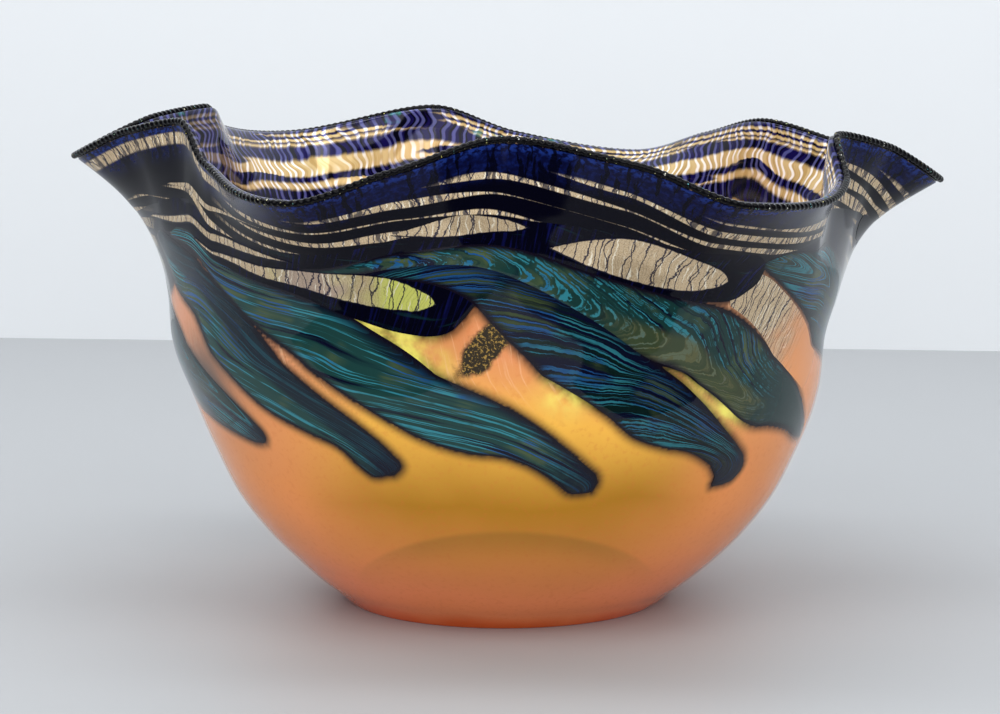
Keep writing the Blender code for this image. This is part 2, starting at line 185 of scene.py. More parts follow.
BODY_DARK = [  # cobalt that runs through the body glass between the bits: lower edge, turn
    ([(-150, 0.730), (-120, 0.745), (-100, 0.695), (-88, 0.680), (-78, 0.695), (-66, 0.735),
      (-54, 0.765)], 0),
    ([(34, 0.830), (44, 0.815), (56, 0.795), (66, 0.755), (78, 0.705), (92, 0.675), (106, 0.690),
      (120, 0.730), (134, 0.770)], 0),
    ([(30, 0.820), (50, 0.800), (66, 0.765), (80, 0.735), (96, 0.725), (108, 0.740)], 160),
]
SWAGS = {
    "swag_01": (SWAG_LONG, 0), "swag_02": (SWAG_SHORT, 0),
    "swag_03": (SWAG_LONG, 158), "swag_04": (SWAG_SHORT, 160),
}


def monotone(x, y, at):
    """Smooth curve through (x, y) that never overshoots its points."""
    x, y = np.asarray(x, float), np.asarray(y, float)
    step = np.diff(x)
    slope = np.diff(y) / step
    tangent = np.zeros_like(y)
    before, after = slope[:-1], slope[1:]
    same = before * after > 0
    w1, w2 = 2 * step[1:] + step[:-1], step[1:] + 2 * step[:-1]
    blend = (w1 + w2) / (w1 / np.where(same, before, 1.0) + w2 / np.where(same, after, 1.0))
    tangent[1:-1] = np.where(same, blend, 0.0)
    tangent[0], tangent[-1] = slope[0], slope[-1]
    i = np.clip(np.searchsorted(x, at, side="right") - 1, 0, len(x) - 2)
    t = (at - x[i]) / step[i]
    return (
        (2 * t**3 - 3 * t**2 + 1) * y[i] + (t**3 - 2 * t**2 + t) * step[i] * tangent[i]
        + (3 * t**2 - 2 * t**3) * y[i + 1] + (t**3 - t**2) * step[i] * tangent[i + 1]
    )


def lip(azimuth):
    """Radius and height of the lip's centre line."""
    rows = np.array(LIP)
    around = np.r_[rows[-3:, 0] - 360, rows[:, 0], rows[:3, 0] + 360]
    at = np.mod(azimuth, 360)
    return [monotone(around, np.r_[rows[-3:, c], rows[:, c], rows[:3, c]], at) for c in (1, 2)]


HEIGHTS, RADII = np.array(BLANK).T
FINE_Z = np.linspace(0, HEIGHTS[-1], 400)
FINE_R = monotone(HEIGHTS, RADII, FINE_Z)
ARC = np.r_[0, np.cumsum(np.hypot(np.diff(FINE_Z), np.diff(FINE_R)))]
SHOULDER = ARC[-1] / (ARC[-1] + RUFFLE_LENGTH)


def wall(azimuth, level):
    """Point on the outer face of the body."""
    azimuth, level = np.broadcast_arrays(np.asarray(azimuth, float), np.asarray(level, float))
    low_z = np.interp(np.clip(level / SHOULDER, 0, 1) * ARC[-1], ARC, FINE_Z)
    low_r = np.interp(low_z, FINE_Z, FINE_R)
    t = np.clip((level - SHOULDER) / (1 - SHOULDER), 0, 1.2)
    lip_r, lip_z = lip(azimuth)
    r0, z0 = RADII[-1], HEIGHTS[-1]
    lean = np.array([RADII[-1] - RADII[-2], HEIGHTS[-1] - HEIGHTS[-2]])
    lean = lean / np.hypot(*lean) * SHOULDER_PULL
    reach = np.hypot(lip_r - r0, lip_z - z0)
    a, b = 2 * t**3 - 3 * t**2 + 1, t**3 - 2 * t**2 + t
    c, d = 3 * t**2 - 2 * t**3, t**3 - t**2
    high_r = a * r0 + b * lean[0] * reach + c * lip_r + d * LIP_FLARE * (lip_r - r0)
    high_z = a * z0 + b * lean[1] * reach + c * lip_z + d * LIP_RISE * (lip_z - z0)
    r = np.where(level > SHOULDER, high_r, low_r)
    z = np.where(level > SHOULDER, high_z, low_z)
    # The axis wanders sideways with height, as in the CAD.
    wander = 0.001 - 0.0032 * np.exp(-((z - 0.106) / 0.017) ** 2) - 0.001 * np.clip((z - 0.12) / 0.03, 0, 1)
    wander = wander * np.clip(z / 0.02, 0, 1)
    turn = np.radians(azimuth)
    return np.stack([r * np.sin(turn) + wander, -r * np.cos(turn), z], axis=-1)


def outward(azimuth, level):
    """Unit normal of the outer face."""
    around = wall(azimuth + 0.2, level) - wall(azimuth - 0.2, level)
    upward = wall(azimuth, level + 0.002) - wall(azimuth, level - 0.002)
    normal = np.cross(around, upward)
    return normal / np.linalg.norm(normal, axis=-1, keepdims=True)


def raised(azimuth, level, height):
    """Point at a height in metres above the outer face."""
    height = np.asarray(height, float)
    return wall(azimuth, level) + outward(azimuth, level) * height[..., None]


def edge_curve(points, at):
    """Smooth chain of (azimuth, level) through the points, at shares 0 to 1 of its length."""
    chain = np.array(points, float)
    run = np.r_[0, np.cumsum(np.hypot(*(np.diff(chain, axis=0) * [MM_PER_DEGREE, MM_PER_LEVEL]).T))]
    tangent = np.gradient(chain, run, axis=0)
    run_at = at * run[-1]
    i = np.clip(np.searchsorted(run, run_at, side="right") - 1, 0, len(run) - 2)
    step = (run[i + 1] - run[i])[:, None]
    t = (run_at - run[i])[:, None] / step
    return (
        (2 * t**3 - 3 * t**2 + 1) * chain[i] + (t**3 - 2 * t**2 + t) * step * tangent[i]
        + (3 * t**2 - 2 * t**3) * chain[i + 1] + (t**3 - t**2) * step * tangent[i + 1]
    )


# ---------------------------------------------------------------- meshes
OUTLINE_POINTS = 120       # along each edge
SHARP_DEGREES = 50


def mesh_object(name, points, quads, uv, fields=None):
    """Smooth closed mesh. `uv` is one pair per corner, `fields` one value per point."""
    mesh = bpy.data.meshes.new(name)
    mesh.from_pydata(points.tolist(), [], quads.tolist())
    layer = mesh.uv_layers.new(name="pattern")
    layer.data.foreach_set("uv", uv.reshape(-1).astype(np.float32))
    for field, values in (fields or {}).items():
        attribute = mesh.attributes.new(field, "FLOAT", "POINT")
        attribute.data.foreach_set("value", values.astype(np.float32))
    mesh.shade_smooth()
    mesh.set_sharp_from_angle(angle=np.radians(SHARP_DEGREES))
    mesh.update()
    obj = bpy.data.objects.new(name, mesh)
    bpy.context.scene.collection.objects.link(obj)
    return obj


def ring_quads(rings, columns, closed=False):
    """Quads and corner UVs between rings of points that go round the bowl; v is the ring's index."""
    k = np.arange(rings if closed else rings - 1)[:, None]
    i = np.arange(columns)[None, :]
    j = (i + 1) % columns
    upper = (k + 1) % rings
    quads = np.stack([k * columns + i, k * columns + j, upper * columns + j, upper * columns + i], axis=-1)
    u = np.stack([i + 0 * k, i + 1 + 0 * k, i + 1 + 0 * k, i + 0 * k], axis=-1) / columns
    v = np.stack([k + 0 * i, k + 0 * i, upper + 0 * i, upper + 0 * i], axis=-1)
    return quads.reshape(-1, 4), u.reshape(-1), v.reshape(-1)


def outline(edges, turn):
    """Closed chain of (azimuth, level) around a bit."""
    at = np.linspace(0, 1, OUTLINE_POINTS)
    lower, upper = (edge_curve(edge, at) for edge in edges)
    lower, upper = rounded(lower, upper, at)
    return np.vstack([lower, upper[::-1]]) + [turn, 0]


def rounded(lower, upper, at, root=0.03, tip=0.05):
    """Draws the two edges together at both ends, so that the bit starts and ends round."""
    start = np.clip(at / root, 0, 1)
    end = np.clip((1 - at) / tip, 0, 1)
    width = np.sqrt(1 - (1 - start) ** 2) * np.sqrt(1 - (1 - end) ** 2)
    width = (0.02 + 0.98 * width)[:, None]
    middle = (lower + upper) / 2
    return middle + (lower - middle) * width, middle + (upper - middle) * width


def inside_outline(azimuth, level, polygon):
    """Whether each place on the wall is inside an outline."""
    x = (azimuth - polygon[:, 0].mean() + 180) % 360 - 180 + polygon[:, 0].mean()
    result = np.zeros(x.shape, bool)
    for (x1, y1), (x2, y2) in zip(polygon, np.roll(polygon, -1, axis=0)):
        if y1 == y2:
            continue
        crossing = (y1 > level) != (y2 > level)
        result ^= crossing & (x < (x2 - x1) * (level - y1) / (y2 - y1) + x1)
    return result


def distance_to(points, targets):
    """Distance from each point to the nearest target."""
    tree = kdtree.KDTree(len(targets))
    for i, target in enumerate(targets):
        tree.insert(target, i)
    tree.balance()
    return np.array([tree.find(p)[2] for p in points])


def spot(points, place, radius, lean=(1, 0), stretch=1.0):
    """Bell-shaped patch on the wall; it may be narrowed by `stretch` across the direction it leans."""
    centre = wall(*place)
    side = wall(place[0] + 0.5, place[1]) - centre
    side /= np.linalg.norm(side)
    rise = wall(place[0], place[1] + 0.004) - centre
    rise /= np.linalg.norm(rise)
    off = points - centre
    a, b = off @ side, off @ rise
    along, across = a * lean[0] + b * lean[1], (b * lean[0] - a * lean[1]) * stretch
    depth = np.linalg.norm(off - np.outer(a, side) - np.outer(b, rise), axis=1)
    return np.exp(-((along**2 + across**2 + depth**2) / radius**2))


COLUMNS = 600
OUTER_LEVELS = np.linspace(0.004, RIM_LEVEL, 190)
INNER_LEVELS = np.linspace(0.985, INNER_LOW, 130)


def glass_thickness(height):
    return np.interp(height, [0.0, 0.004, 0.03, 0.19], [FLOOR, FLOOR, WALL_LOW, WALL_LIP])


def make_body():
    """Closed shell: foot, outer wall, rounded rim, inside wall and floor, with what its material needs."""
    azimuth = np.arange(COLUMNS) * 360 / COLUMNS - 180
    foot = wall(azimuth, 0.0)
    rings, levels, inner = [], [], []

    def add(points, level, inside):
        rings.append(points)
        levels.append(level)
        inner.append(inside)

    for share in (0.004, 0.3, 0.6, 0.85, 0.97):
        add(foot * [share, share, 0], 0.0, 0.0)
    add(foot, 0.0, 0.0)
    for level in OUTER_LEVELS:
        add(wall(azimuth, level), level, 0.0)
    top, normal = wall(azimuth, RIM_LEVEL), outward(azimuth, RIM_LEVEL + 0 * azimuth)
    up = wall(azimuth, 0.996) - top
    up /= np.linalg.norm(up, axis=-1, keepdims=True)
    for angle in np.linspace(20, 160, 8):
        side, rise = (1 - np.cos(np.radians(angle))) / 2, np.sin(np.radians(angle)) * RIM_ROUND
        add(top - normal * WALL_LIP * side + up * rise, 0.994, side)
    for level in INNER_LEVELS:
        face = wall(azimuth, level)
        add(face - outward(azimuth, level + 0 * azimuth) * glass_thickness(face[:, 2:]), level, 1.0)
    rim = rings[-1]
    for share in np.linspace(0.95, 0.05, 14):
        height = FLOOR + (rim[:, 2:] - FLOOR) * share**4
        add(np.hstack([rim[:, :2] * share, height]), INNER_LOW * share, 1.0)
    add(np.hstack([rim[:, :2] * 0.004, 0 * rim[:, 2:] + FLOOR]), 0.0, 1.0)
    points = np.vstack(rings)
    quads, u, v = ring_quads(len(rings), COLUMNS)
    levels, inner = np.array(levels), np.array(inner)
    uv = np.stack([u - 0.5, levels[v.astype(int)]], axis=1)
    caps = np.array([np.arange(COLUMNS)[::-1], np.arange(COLUMNS) + (len(rings) - 1) * COLUMNS])
    level_at = np.repeat(levels, COLUMNS)
    azimuth_at = np.tile(azimuth, len(rings))
    inner_at = np.repeat(inner, COLUMNS)
    targets, covered = [], np.zeros(len(points), bool)
    for edges, turn in DARK_BITS:
        shape = outline(edges, turn)
        covered |= inside_outline(azimuth_at, level_at, shape)
        targets.append(wall(*shape.T))
    near = distance_to(points, np.vstack(targets))
    signed = np.where(covered, near, -near)
    mesh_quads = [tuple(q) for q in quads.tolist()] + [tuple(c) for c in caps.tolist()]
    mesh = bpy.data.meshes.new("body_glass")
    mesh.from_pydata(points.tolist(), [], mesh_quads)
    layer = mesh.uv_layers.new(name="pattern")
    cap_uv = np.zeros((2 * COLUMNS, 2))
    layer.data.foreach_set("uv", np.vstack([uv, cap_uv]).reshape(-1).astype(np.float32))
    outer = 1 - inner_at
    facing = np.abs((azimuth_at + 90) % 180 - 90)  # degrees from the front or the back
    # painted light: yellow patches where light shines through the amber beside the bits
    glow = 1.8 * spot(points, (-16.5, 0.682), 0.015, (0.88, -0.47), 2.2)
    glow = glow + 1.2 * spot(points, (11, 0.612), 0.0075)
    glow += 0.55 * spot(points, (37.5, 0.578), 0.019, (0.78, -0.63), 6.0)
    glow += 0.90 * spot(points, (41.5, 0.546), 0.0060, (0.78, -0.63), 1.6)
    # painted reflection: a brown-grey veil that dulls the amber on the left
    painted_reflection = spot(points, (-59.5, 0.600), 0.021, (0.8, -0.6), 1.2)
    band = spot(points, (-2.6, 0.672), 0.0185, (0.60, 0.80), 2.9)
    fields = {
        "inside": inner_at,
        "dark_mm": signed * 1000,
        "glow": np.clip(glow, 0, 1) * outer,
        "fleck": np.clip((band - 0.20) / 0.5, 0, 1) * outer,
        "painted_reflection": painted_reflection * outer,
        # painted shade: below this arch, low on the front and back, the amber is darkened
        "painted_shadow_arch": 0.328 - 0.0001 * facing**2 - level_at,
        "front": np.clip((42 - facing) / 24, 0, 1) * outer,
    }
    for field, values in fields.items():
        attribute = mesh.attributes.new(field, "FLOAT", "POINT")
        attribute.data.foreach_set("value", values.astype(np.float32))
    mesh.shade_smooth()
    obj = bpy.data.objects.new("body_glass", mesh)
    bpy.context.scene.collection.objects.link(obj)
    return obj


def make_collar():
    azimuth = np.arange(COLUMNS) * 360 / COLUMNS - 180
    count = 40
    levels = np.linspace(COLLAR_LOW, COLLAR_HIGH, count)
    lift = COLLAR_LIFT * np.clip((levels - COLLAR_LOW) / 0.02, 0, 1) ** 0.7 + COLLAR_EDGE
    rings = [raised(azimuth, level, h + 0 * azimuth) for level, h in zip(levels, lift)]
    rings += [raised(azimuth, level, -COLLAR_SUNK + 0 * azimuth) for level in levels[::-1]]
    quads, u, v = ring_quads(len(rings), COLUMNS, closed=True)
    level_of = np.r_[levels, levels[::-1]]
    uv = np.stack([u - 0.5, level_of[v.astype(int)]], axis=1)
    return mesh_object("collar_glass", np.vstack(rings), quads, uv)


def make_cord():
    per_crimp = 7
    sections, sides = CORD_CRIMPS * per_crimp, CORD_SIDES
    azimuth = np.arange(sections) * 360 / sections
    centre = wall(azimuth, 1.0)
    out = outward(azimuth, np.full(sections, 0.99))
    along = np.roll(centre, -1, axis=0) - np.roll(centre, 1, axis=0)
    along /= np.linalg.norm(along, axis=1, keepdims=True)
    up = np.cross(along, out)
    up /= np.linalg.norm(up, axis=1, keepdims=True)
    out = np.cross(up, along)
    angle = np.arange(sides) * 2 * np.pi / sides
    run = np.r_[0, np.cumsum(np.linalg.norm(np.diff(centre, axis=0), axis=1))]
    phase = run[:, None] / run[-1] * 2 * np.pi * CORD_CRIMPS + angle[None, :]
    radius = CORD_RADIUS + CORD_RIDGE * np.cos(phase)
    points = (
        centre[:, None, :]
        + out[:, None, :] * (radius * np.cos(angle))[..., None]
        - up[:, None, :] * (radius * np.sin(angle))[..., None]
    )
    quads, u, v = ring_quads(sections, sides, closed=True)
    uv = np.stack([v / sections, u], axis=1)
    return mesh_object("lip_cord_glass", points.reshape(-1, 3), quads, uv)


def make_bit(name, edges, turn, lift, rise, taper=3.0, along=160, across=28):
    """Bit of glass melted onto the wall: closed, thicker in the middle, its underside inside the wall."""
    at = np.linspace(0, 1, along + 1)
    lower, upper = (edge_curve(edge, at) for edge in edges)
    lower, upper = rounded(lower, upper, at)
    share = (1 - np.cos(np.linspace(0, np.pi, across + 1))) / 2
    share = 0.5 * share + 0.5 * np.linspace(0, 1, across + 1)
    grid = lower[:, None] + (upper - lower)[:, None] * share[None, :, None]
    flat = grid * [MM_PER_DEGREE, MM_PER_LEVEL]
    step = np.linalg.norm(np.diff(flat[:, across // 2], axis=0), axis=-1)
    length = np.r_[0, np.cumsum(step)]
    width = np.linalg.norm(flat[:, -1] - flat[:, 0], axis=-1)
    edge = np.minimum(share, 1 - share)[None, :] * width[:, None]
    edge = np.minimum(edge, np.minimum(length, length[-1] - length)[:, None])
    soft = np.clip(edge / taper, 0, 1)
    height = lift + rise * soft * soft * (3 - 2 * soft)
    azimuth, level = grid[..., 0] + turn, grid[..., 1]
    top = raised(azimuth, level, height).reshape(-1, 3)
    bottom = raised(azimuth, level, -SUNK + 0 * height).reshape(-1, 3)
    wide, half = across + 1, top.shape[0]
    i, j = np.meshgrid(np.arange(along), np.arange(across), indexing="ij")
    a = (i * wide + j).ravel()
    faces = np.stack([a, a + wide, a + wide + 1, a + 1], axis=1)
    under = np.stack([a, a + 1, a + wide + 1, a + wide], axis=1) + half
    rim = np.r_[
        np.arange(along + 1) * wide, along * wide + np.arange(1, wide),
        np.arange(along - 1, -1, -1) * wide + across, np.arange(across - 1, 0, -1),
    ]
    nxt = np.roll(rim, -1)
    skirt = np.stack([nxt, rim, rim + half, nxt + half], axis=1)
    quads = np.vstack([faces, under, skirt])
    t = np.repeat(at, wide)
    w = np.tile(share, along + 1)
    uv_point = np.tile(np.stack([t, w], axis=1), (2, 1))
    fields = {
        "run_mm": np.tile(np.repeat(length, wide), 2),
        "across_mm": np.tile((share[None, :] * width[:, None]).ravel(), 2),
        "width_mm": np.tile(np.repeat(width, wide), 2),
        "edge_mm": np.tile(edge.ravel(), 2),
    }
    return mesh_object(name, np.vstack([top, bottom]), quads, uv_point[quads.ravel()], fields)


# ---------------------------------------------------------------- materials
MIX_A, MIX_B, MIX_RESULT = 6, 7, 2  # colour sockets of a Mix node


class Glass:
    """Small helper that builds one node material around a Principled BSDF."""

    def __init__(self, name):
        self.material = bpy.data.materials.new(name)
        self.material.use_nodes = True
        self.tree = self.material.node_tree
        self.shader = self.tree.nodes["Principled BSDF"]
        self.place = self.add("ShaderNodeTexCoord").outputs["Object"]

    def add(self, kind, **settings):
        node = self.tree.nodes.new(kind)
        for key, value in settings.items():
            setattr(node, key, value)
        return node

    def link(self, value, socket):
        if isinstance(value, bpy.types.NodeSocket):
            self.tree.links.new(value, socket)
        elif isinstance(value, (tuple, list)) and len(value) == 3 and socket.type == "RGBA":
            socket.default_value = (*value, 1.0)
        else:
            socket.default_value = value

    def math(self, operation, a, b=0.0):
        node = self.add("ShaderNodeMath", operation=operation)
        for value, socket in zip((a, b), node.inputs):
            self.link(value, socket)
        return node.outputs[0]

    def plus(self, a, b):
        return self.math("ADD", a, b)

    def minus(self, a, b):
        return self.math("SUBTRACT", a, b)

    def times(self, a, b):
        return self.math("MULTIPLY", a, b)

    def over(self, a, b):
        return self.math("DIVIDE", a, b)

    def field(self, name):
        return self.add("ShaderNodeAttribute", attribute_name=name).outputs["Fac"]

    def uv(self):
        split = self.add("ShaderNodeSeparateXYZ")
        self.link(self.add("ShaderNodeUVMap", uv_map="pattern").outputs["UV"], split.inputs[0])
        return split.outputs[0], split.outputs[1]

    def on_wall(self):
        """The body's and the collar's UV, and the same in mm along the wall."""
        u, level = self.uv()
        return u, level, self.times(u, 360 * MM_PER_DEGREE), self.times(level, MM_PER_LEVEL)

    def vector(self, x, y, z=0.0):
        node = self.add("ShaderNodeCombineXYZ")
        for value, socket in zip((x, y, z), node.inputs):
            self.link(value, socket)
        return node.outputs[0]

    def noise(self, vector, scale, detail=2.0, roughness=0.5, distortion=0.0):
        node = self.add("ShaderNodeTexNoise")
        self.link(vector, node.inputs["Vector"])
        node.inputs["Scale"].default_value = scale
        node.inputs["Detail"].default_value = detail
        node.inputs["Roughness"].default_value = roughness
        node.inputs["Distortion"].default_value = distortion
        return node.outputs["Fac"]

    def to_line(self, along):
        """Distance to the nearest of many uneven lines, which are about 1 apart."""
        node = self.add("ShaderNodeTexVoronoi", feature="DISTANCE_TO_EDGE", voronoi_dimensions="1D")
        self.link(along, node.inputs["W"])
        node.inputs["Scale"].default_value = 1.0
        return node.outputs["Distance"]

    def step(self, value, low, high):
        node = self.add("ShaderNodeMapRange", interpolation_type="SMOOTHSTEP")
        self.link(value, node.inputs["Value"])
        node.inputs["From Min"].default_value = low
        node.inputs["From Max"].default_value = high
        return node.outputs["Result"]

    def mix(self, factor, a, b):
        node = self.add("ShaderNodeMix", data_type="RGBA")
        self.link(factor, node.inputs["Factor"])
        self.link(a, node.inputs[MIX_A])
        self.link(b, node.inputs[MIX_B])
        return node.outputs[MIX_RESULT]

    def ramp(self, value, stops):
        node = self.add("ShaderNodeValToRGB")
        ramp = node.color_ramp
        while len(ramp.elements) < len(stops):
            ramp.elements.new(0.5)
        for element, (position, colour) in zip(ramp.elements, stops):
            element.position = position
            element.color = (*colour, 1.0)
        self.link(value, node.inputs[0])
        return node.outputs[0]

    def set(self, **values):
        for key, value in values.items():
            self.link(value, self.shader.inputs[key.replace("_", " ")])


NAVY = (0.0022, 0.0030, 0.016)
BLACK_GREEN = (0.0060, 0.0260, 0.0240)
TEAL = (0.024, 0.165, 0.205)
BLUE = (0.012, 0.070, 0.210)
OLIVE = (0.090, 0.120, 0.040)
LEAF = (0.42, 0.30, 0.16)
LEAF_LIGHT = (0.76, 0.61, 0.42)
COBALT = (0.006, 0.008, 0.090)
INK = (0.0010, 0.0010, 0.0050)
HALO = (0.0050, 0.0035, 0.0090)


def leaf_colour(g, run, across, seed, crack=3.4, tint=None):
    """Silver leaf broken by dark cracks that run across the bit; run and across are in mm."""
    def cracks(spacing, turn):
        slow = g.noise(g.vector(g.times(run, 0.10), g.times(across, 0.09), turn), 1.0, 1.0)
        quick = g.noise(g.vector(g.times(run, 0.5), g.times(across, 0.9), turn), 1.0, 2.0)
        line = g.plus(g.times(slow, 9.0), g.times(quick, 1.3))
        line = g.over(g.plus(line, run), spacing)
        return g.times(g.to_line(line), spacing)

    coarse = g.math("MINIMUM", cracks(crack * 1.5, seed), cracks(crack * 2.0, seed + 3.3))
    fine = cracks(crack * 0.42, seed + 6.1)
    glint = cracks(crack * 0.9, seed + 8.7)
    grain = g.noise(g.vector(g.times(run, 2.2), g.times(across, 2.2), seed), 1.0, 4.0, 0.7)
    base = g.mix(g.step(grain, 0.30, 0.72), LEAF, LEAF_LIGHT)
    if tint:
        base = g.mix(tint[0], base, tint[1])
    base = g.mix(g.times(g.step(fine, 0.14, 0.02), 0.45), base, (0.12, 0.10, 0.09))
    # painted glints: bright lines along some of the cracks, only in places
    places = g.step(g.noise(g.vector(run, across, seed + 4), 0.16, 1.0), 0.42, 0.60)
    shine = g.times(g.step(glint, 0.30, 0.10), places)
    base = g.mix(g.times(shine, 0.75), base, (1.0, 0.93, 0.76))
    return g.mix(g.times(g.step(coarse, 0.30, 0.14), 0.93), base, (0.018, 0.018, 0.045))


def gloss(g, roughness=0.05, bend=1.35):
    g.set(Roughness=roughness, IOR=bend)
    return g.material


def feather_material(name, quill, pull, spread, pitch, curl, olive, loop, seed, lift, shadow):
    g = Glass(name)
    run, across = g.field("run_mm"), g.field("across_mm")
    off = g.minus(across, g.times(g.field("width_mm"), quill))
    far = g.math("SQRT", g.plus(g.times(off, off), loop * loop))
    drag = g.times(g.math("EXPONENT", g.over(far, -spread)), pull)
    slow = g.minus(g.noise(g.vector(run, across, seed), 0.09, 1.0), 0.5)
    wobble = g.minus(g.noise(g.vector(run, across, seed), 0.24, 3.0, 0.62), 0.5)
    sway = g.plus(g.times(slow, (0.8 + 1.8 * curl) * pitch), g.times(wobble, 4.0 * pitch * curl))
    flow = g.plus(g.minus(run, drag), sway)
    along = g.over(run, 60.0)
    fine = g.noise(g.vector(g.over(flow, pitch), along, seed + 3), 1.0, 2.0, 0.55, 0.12 * curl)
    broad = g.noise(g.vector(g.over(flow, pitch * 2.7), along, seed + 7), 1.0, 2.0, 0.5, 0.1 * curl)
    patch = g.noise(g.vector(run, across, seed + 11), 0.05, 2.0)
    green = tuple(c * lift for c in BLACK_GREEN)
    ground = g.mix(g.step(broad, 0.42 - 0.05 * lift, 0.56 - 0.05 * lift), NAVY, green)
    moss = g.times(g.step(patch, 0.48, 0.66), g.step(broad, 0.40, 0.62))
    ground = g.mix(g.times(moss, 0.35 + 0.5 * olive), ground, OLIVE)
    line_gain, teal_share = 0.7 + 0.3 * lift, 0.36 + 0.12 * min(lift, 1.0)
    teal, blue = (tuple(c * line_gain for c in colour) for colour in (TEAL, BLUE))
    lines = g.mix(g.step(patch, teal_share, teal_share + 0.18), teal, blue)
    bright = g.step(fine, 0.530, 0.580)
    if olive >= TAN_BAND:
        weight = g.step(g.noise(g.vector(run, across, seed + 17), 0.30, 2.0, 0.6), 0.42, 0.52)
    else:
        weight = g.step(g.noise(g.vector(run, across, seed + 17), 0.14, 1.0), 0.16, 0.44)
    colour = g.mix(g.times(bright, weight), ground, lines)
    along = g.plus(g.uv()[0], g.times(wobble, 0.12))
    if olive >= TAN_BAND:
        low = g.step(g.over(across, g.field("width_mm")), 0.50, 0.36)
        band = g.times(low, g.times(g.step(along, 0.40, 0.54), g.step(along, 0.86, 0.72)))
        tan = g.mix(g.step(fine, 0.46, 0.60), (0.045, 0.060, 0.026), (0.110, 0.110, 0.045))
        colour = g.mix(g.times(band, 0.85), colour, tan)
        colour = g.mix(g.step(along, 0.72, 0.82), colour, (0.012, 0.034, 0.034))
    else:
        colour = g.mix(g.times(g.step(along, 0.84, 0.97), 0.80), colour, NAVY)
    if shadow:
        beyond = g.minus(g.field("width_mm"), across)
        colour = g.mix(g.times(g.step(beyond, shadow, shadow - 4), 0.80), colour, NAVY)
    colour = g.mix(g.step(g.field("edge_mm"), 2.4, 0.3), colour, HALO)
    g.set(Base_Color=colour)
    return gloss(g)


def lens_material(name, seed, glow):
    g = Glass(name)
    run, across = g.field("run_mm"), g.field("across_mm")
    tint = None
    if glow:
        place = g.plus(g.uv()[0], g.times(g.noise(g.place, 60.0, 2.0), 0.2))
        violet = g.times(g.step(place, 0.50, 0.62), g.step(place, 0.84, 0.76))
        hue = g.mix(g.times(violet, 0.9), (0.74, 0.80, 0.14), (0.27, 0.17, 0.23))
        tint = (g.math("MAXIMUM", g.times(g.step(place, 0.80, 0.95), 0.80), g.times(violet, 0.55)), hue)
    colour = leaf_colour(g, run, across, seed, tint=tint)
    edge = g.plus(g.field("edge_mm"), g.times(g.noise(g.place, 400.0, 2.0), 0.8))
    colour = g.mix(g.step(edge, 1.1, 0.7), colour, NAVY)
    g.set(Base_Color=colour, Metallic=0.35)
    return gloss(g, 0.10)


def window_material(name, seed):
    """Leaf that melts away into the amber towards its lower end."""
    g = Glass(name)
    run, across = g.field("run_mm"), g.field("across_mm")
    leaf = leaf_colour(g, run, across, seed, crack=2.4)
    fade = g.plus(g.uv()[0], g.times(g.noise(g.place, 90.0, 3.0), 0.5))
    colour = g.mix(g.step(fade, 0.60, 1.05), leaf, (0.90, 0.36, 0.13))
    g.set(Base_Color=colour, Metallic=0.2)
    return gloss(g, 0.10)


def stripes(g, azimuth, level, slope, spacing, start, seed):
    """Silver streaks that drift down to the right, 1 on a streak. In front, one is at level `start`."""
    drift = g.times(azimuth, 360 * slope)
    sway = g.times(g.minus(g.noise(g.place, 18.0, 2.0), 0.5), 0.012)
    line = g.plus(g.plus(level, drift), sway)
    cell = g.plus(g.over(line, spacing), 0.5 - start / spacing)
    wave = g.math("ABSOLUTE", g.minus(g.math("FRACT", cell), 0.5))
    rowed = g.noise(g.vector(g.times(azimuth, 11.0), g.times(g.math("FLOOR", cell), 3.7), seed), 1.0, 1.0)
    width = g.times(g.step(rowed, 0.30, 0.70), 0.36)
    return g.step(g.minus(width, wave), -0.02, 0.05)


def collar_material():
    g = Glass("collar_cobalt")
    u, level, run, across = g.on_wall()
    bend = g.times(g.noise(g.vector(run, across, 6.0), 0.25, 2.0), 3.0)
    upright = g.times(g.plus(run, bend), 0.42)
    streaks = g.noise(g.vector(upright, g.times(across, 0.05), 3.0), 1.0, 2.0)
    dark_streak = g.step(streaks, 0.535, 0.585)
    mottle = g.noise(g.vector(run, across, 12.0), 0.5, 3.0, 0.6)
    cobalt = g.mix(g.step(mottle, 0.40, 0.72), (0.002, 0.003, 0.026), (0.004, 0.010, 0.080))
    bluer = g.times(g.step(level, 0.970, 0.986), g.step(mottle, 0.42, 0.60))
    cobalt = g.mix(bluer, cobalt, (0.010, 0.030, 0.190))
    cobalt = g.mix(g.times(dark_streak, 0.9), cobalt, INK)
    colour = g.mix(g.step(level, 0.905, 0.950), INK, cobalt)
    left = g.step(u, -0.11, -0.15)
    streak = stripes(g, u, level, 0.0019, 0.036, 0.925, 4.0)
    streak = g.times(streak, g.step(level, 0.946, 0.936))
    streak = g.times(streak, g.minus(1.0, g.times(left, g.step(level, 0.86, 0.87))))
    lobe = g.times(g.step(level, 0.950, 0.956), g.step(level, 0.980, 0.975))
    lobe = g.times(lobe, g.times(left, g.step(u, -0.36, -0.30)))
    leaf = leaf_colour(g, run, across, 21.0, crack=2.8)
    leaf = g.mix(g.times(dark_streak, 0.8), leaf, (0.004, 0.008, 0.030))
    colour = g.mix(g.math("MAXIMUM", streak, lobe), colour, leaf)
    g.set(Base_Color=colour)
    return gloss(g, 0.13, 1.24)


def swag_material():
    g = Glass("swag_cobalt")
    run, across = g.field("run_mm"), g.field("across_mm")
    veil = g.noise(g.vector(g.times(run, 0.7), g.times(across, 0.05), 8.0), 1.0, 3.0)
    colour = g.mix(g.times(g.step(veil, 0.52, 0.72), 0.5), INK, COBALT)
    green = g.noise(g.vector(g.times(run, 0.03), g.times(across, 0.5), 5.0), 1.0, 2.0)
    colour = g.mix(g.times(g.step(green, 0.60, 0.75), 0.5), colour, (0.006, 0.030, 0.034))
    g.set(Base_Color=colour)
    return gloss(g, 0.05, 1.25)


